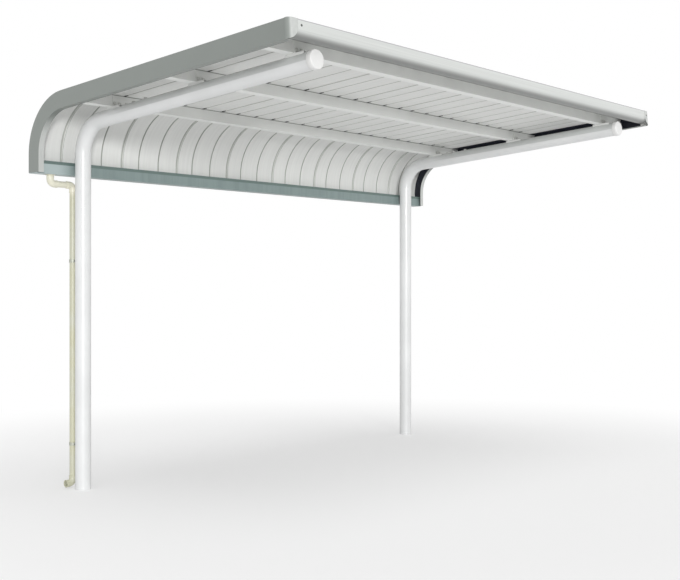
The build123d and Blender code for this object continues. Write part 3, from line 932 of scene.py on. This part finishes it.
finish_by_start = (
    ("post_", frame_paint), ("arm_cap_", cover_white), ("arm_", arm_paint),
    ("purlin_", purlin_paint), ("roof_sheet_", roof_finish), ("front_fascia", silver_front),
    ("side_fascia_left", silver_sides["left"]), ("side_fascia_right", silver_sides["right"]),
    ("corner_cover_", silver_corner), ("gutter", gutter_finish), ("drain_outlet", drain_finish),
    ("downpipe", drain_finish), ("pipe_clip_", clip_finish),
)
for name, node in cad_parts.items():
    dress(node, next(finish for start, finish in finish_by_start if name.startswith(start)))
fittings = (
    (end_covers, cover_white), (corner_covers, silver_corner),
    ([saddle_bolts, arm_bolts, roof_screws], fixing_finish),
    ([clip_bolts, fascia_rivets], rivet_finish),
    ([seal_rings], frame_paint), ([socket_beads], drain_finish),
)
for pieces, finish in fittings:
    for piece in pieces:
        dress(piece, finish)
print("dressed", len(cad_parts), "measured parts")

# %% [markdown]
# More light could make the backdrop pale, but it would bleach the shelter too. Here the backdrop
# only looks white: a Light Path node finds the rays that come from the camera, from a reflection or
# through something clear, and a Mix Shader shows them plain white. The rest carry the light.

# %% White for the eye only
def shown_directly(tree):
    """Output that is 1 for rays from the camera, from a reflection or through something clear."""
    path = tree.nodes.new("ShaderNodeLightPath")
    shown = path.outputs["Is Camera Ray"]
    for kind in ("Is Glossy Ray", "Is Transmission Ray"):
        either = tree.nodes.new("ShaderNodeMath")
        either.operation = "MAXIMUM"
        tree.links.new(shown, either.inputs[0])
        tree.links.new(path.outputs[kind], either.inputs[1])
        shown = either.outputs["Value"]
    return shown


def mix_shaders(tree, share, first, second, target):
    """Lead two shaders to the target, the first at a share of 0 and the second at 1."""
    blend = tree.nodes.new("ShaderNodeMixShader")
    tree.links.new(share, blend.inputs["Fac"])
    tree.links.new(first, blend.inputs[1])
    tree.links.new(second, blend.inputs[2])
    tree.links.new(blend.outputs["Shader"], target)


print("white for the eye ready")

# %% [markdown]
# The floor is a plain pale disc of matt paint that takes the shelter's shadow. Its rings lie closer
# together in the middle, where the shelter stands.

# %% Floor
floor_centre = (middle_x, -0.9, 0.0)
floor_radius, floor_drop, floor_grid = 16.0, 0.0002, (24, 96)


def floor_points(rings, columns):
    """Rings whose radius grows as the square of the row, all just under ground level."""
    row = (np.arange(1, rings + 1) / rings) ** 2 * floor_radius
    flat = turned_points(row[:, None], np.zeros(rings), columns)
    return flat + np.array(floor_centre) - vertical * floor_drop


def floor_faces(rings, columns):
    """Faces between rings, and one face in the middle, all looking up."""
    return ring_faces(rings, columns)[:-2] + [list(range(columns))]


floor_mesh = new_mesh("floor", floor_points(*floor_grid), floor_faces(*floor_grid))
floor = add_object("floor", floor_mesh)
print("floor faces:", len(floor_mesh.polygons))

# %% [markdown]
# For what the camera or a reflection sees directly, some even white is mixed into the floor: a
# little under half close to the shelter, which keeps the shadow soft and pale, and all of it
# further out, so that the floor melts into the backdrop without an edge. The change follows the
# distance from the shelter's middle.

# %% Floor paint
white_nearby = 0.45
fade_start, fade_end = 2.2, 4.6
floor_finish = new_finish("floor paint", 0.9, level=0.1)
feed_shader(floor_finish, (0.86, 0.86, 0.86), "Base Color")
tree = floor_finish.node_tree
white = tree.nodes.new("ShaderNodeEmission")
white.inputs["Strength"].default_value = 1.0
distance = tree.nodes.new("ShaderNodeVectorMath")
distance.operation = "DISTANCE"
distance.inputs[1].default_value = floor_centre
tree.links.new(object_place(floor_finish), distance.inputs[0])
fade = ease(floor_finish, distance.outputs["Value"], fade_start, fade_end)
white_share = reckon(floor_finish, "MULTIPLY_ADD", fade, 1.0 - white_nearby, white_nearby)
mix_shaders(
    tree, both(floor_finish, white_share, shown_directly(tree)),
    tree.nodes["Principled BSDF"].outputs["BSDF"], white.outputs["Emission"],
    tree.nodes["Material Output"].inputs["Surface"],
)
floor_mesh.materials.append(floor_finish)
print("floor paint made")

# %% [markdown]
# The light is a plain studio: an even dome, a broad low sun from in front and a little to the left,
# and a weak soft one from above. The dome's light also comes up under the roof off the pale floor.
# It looks white to the camera and in reflections, but lights the shelter at a calmer level.

# %% Dome
world = bpy.data.worlds.new("studio")
bpy.context.scene.world = world
world.use_nodes = True
tree = world.node_tree
dome, backdrop = tree.nodes["Background"], tree.nodes.new("ShaderNodeBackground")
for background, strength in ((dome, 0.55), (backdrop, 1.0)):
    background.inputs["Color"].default_value = (1.0, 1.0, 1.0, 1.0)
    background.inputs["Strength"].default_value = strength
mix_shaders(
    tree, shown_directly(tree), dome.outputs["Background"], backdrop.outputs["Background"],
    tree.nodes["World Output"].inputs["Surface"],
)
print("dome strength:", round(dome.inputs["Strength"].default_value, 2))

# %% [markdown]
# A lamp's light leaves along its own -Z axis, so each one is turned until that axis points at the
# middle of the shelter. The wider the angle of a sun, the softer its shadow.

# %% Suns
shelter_middle = (middle_x, -0.8, 1.2)


def add_sun(name, strength, degrees, place):
    """Sun at a place, with its own -Z axis turned towards the middle of the shelter."""
    light = bpy.data.lights.new(name, "SUN")
    light.energy = strength
    light.angle = math.radians(degrees)
    lamp = add_object(name, light)
    turned = np.eye(4)
    turned[:3, :3] = facing(np.subtract(place, shelter_middle))
    turned[:3, 3] = place
    lamp.matrix_world = Matrix(turned.tolist())
    return lamp


front_sun = add_sun("front sun", strength=1.55, degrees=10.0, place=(-4.73, -9.38, 2.13))
top_sun = add_sun("top sun", strength=1.0, degrees=40.0, place=(0.5, -3.8, 11.2))
print("lamps:", front_sun.name, top_sun.name)

# %% [markdown]
# The camera stands low and to the left in front, level, as a person would who takes in the whole
# shelter. Its place, turn and lens were worked out from the shelter's own edges. A small shift puts
# the horizon a little above the middle of the picture.

# %% Camera
picture_width = 680.0
focal_pixels, shift_pixels = 1093.35, -7.533
turn_from_x = 0.7155
lens = bpy.data.cameras.new("camera")
lens.sensor_width = 36.0
lens.lens = focal_pixels / picture_width * lens.sensor_width
lens.shift_y = shift_pixels / picture_width
camera = add_object("camera", lens)
camera.location = (-3.7334, -5.1796, 1.1739)
camera.rotation_euler = (math.pi / 2.0, 0.0, turn_from_x - math.pi / 2.0)
bpy.context.scene.camera = camera
bpy.context.scene.view_settings.view_transform = "Standard"
print("lens:", round(lens.lens, 2), "mm")
